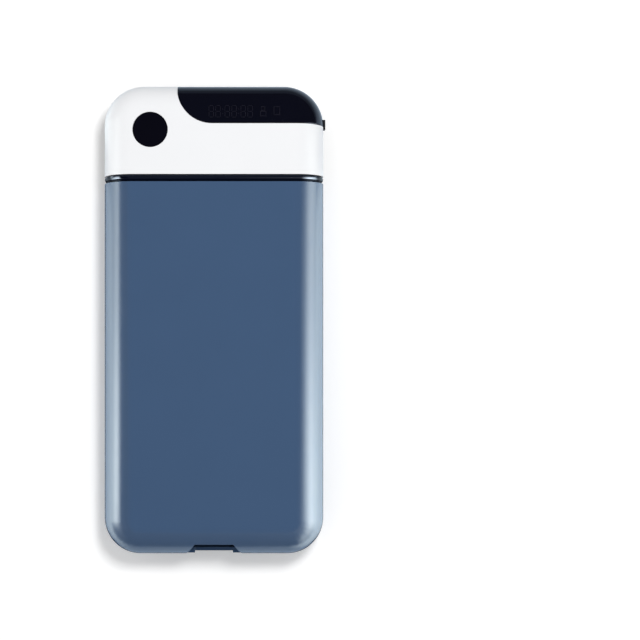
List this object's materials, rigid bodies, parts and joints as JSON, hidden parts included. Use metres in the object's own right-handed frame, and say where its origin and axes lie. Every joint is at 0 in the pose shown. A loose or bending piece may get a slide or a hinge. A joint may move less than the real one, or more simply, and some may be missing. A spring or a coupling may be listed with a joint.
{
  "type": "timed lock container",
  "caption": "Flat rounded box with a lockable drawer: a sleeve, a phone tray and a head with a timer button, display window, slide switch and motor-driven bolt.",
  "frame": {"origin": "centre of the back face, on which the container rests, on the middle line across and along", "axes": "+X to the right seen from the front, +Y towards the head end, +Z out of the front face"},
  "size_m": [0.0989, 0.209, 0.026],
  "materials": {
    "sleeve": "satin",
    "tray": "matt",
    "neck": "gloss",
    "head": "satin gloss",
    "window": "gloss",
    "display": "satin",
    "control": "satin",
    "inner_plastic": "matt",
    "board": "satin",
    "chip": "matt",
    "screw_steel": "machined",
    "bright_metal": "plated",
    "battery_foil": "foil",
    "lead_red": "satin",
    "gear_plastic": "satin",
    "pinion_brass": "machined"
  },
  "bodies": {
    "sleeve": {"sleeve_front_shell": "sleeve", "sleeve_back_shell": "sleeve"},
    "drawer": {"tray": "tray", "neck_plate": "neck", "neck_screws": "screw_steel", "head_front_cover": "head", "head_back_cover": "head", "display_window": "window", "display_panel": "display", "display_frame": "inner_plastic", "main_board": "board", "board_chips": "chip", "board_screws": "screw_steel", "button_switch_body": "inner_plastic", "slide_switch_body": "bright_metal", "usb_socket_shell": "bright_metal", "usb_socket_tongue": "control", "battery_cell": "battery_foil", "battery_leads": "lead_red", "lock_base_plate": "inner_plastic", "lock_top_plate": "inner_plastic", "lock_plate_screws": "screw_steel", "gear_axles": "screw_steel", "motor_can": "bright_metal", "motor_end_cap": "control", "motor_leads": "lead_red"},
    "button": {"timer_button": "control", "button_switch_plunger": "control"},
    "knob": {"slide_switch_knob": "control"},
    "output_gear": {"output_gear": "gear_plastic"},
    "idler_gear": {"idler_gear": "gear_plastic"},
    "motor_rotor": {"motor_pinion": "pinion_brass", "motor_shaft": "screw_steel"},
    "bolt": {"lock_bolt": "screw_steel"}
  },
  "joints": [
    {"name": "drawer_slide", "type": "slide", "parent": "sleeve", "child": "drawer", "axis": [0, 1, 0], "range_m": [0, 0.165]},
    {"name": "button_press", "type": "slide", "parent": "drawer", "child": "button", "axis": [0, 0, -1], "range_m": [0, 0.0005], "stiffness_N_per_m": 600, "springref_m": -0.0005},
    {"name": "switch_slide", "type": "slide", "parent": "drawer", "child": "knob", "axis": [0, -1, 0], "range_m": [0, 0.0025]},
    {"name": "output_gear_turn", "type": "hinge", "parent": "drawer", "child": "output_gear", "pos_m": [0.02223, 0.07312, 0.0075], "axis": [0, 0, 1], "range_deg": [0, 58.93]},
    {"name": "idler_gear_turn", "type": "hinge", "parent": "drawer", "child": "idler_gear", "pos_m": [0.03023, 0.07913, 0.006], "axis": [0, 0, 1], "range_deg": [-176.9, 0]},
    {"name": "motor_turn", "type": "hinge", "parent": "drawer", "child": "motor_rotor", "pos_m": [0.02622, 0.08773, 0.0045], "axis": [0, 0, 1], "range_deg": [0, 495.1]},
    {"name": "bolt_slide", "type": "slide", "parent": "drawer", "child": "bolt", "axis": [1, 0, 0], "range_m": [0, 0.0036]}
  ],
  "couplings": [
    {"joint": "bolt_slide", "follows": "output_gear_turn", "m_per_rad": 0.0035},
    {"joint": "idler_gear_turn", "follows": "output_gear_turn", "ratio": -3},
    {"joint": "motor_turn", "follows": "output_gear_turn", "ratio": 8.4}
  ]
}
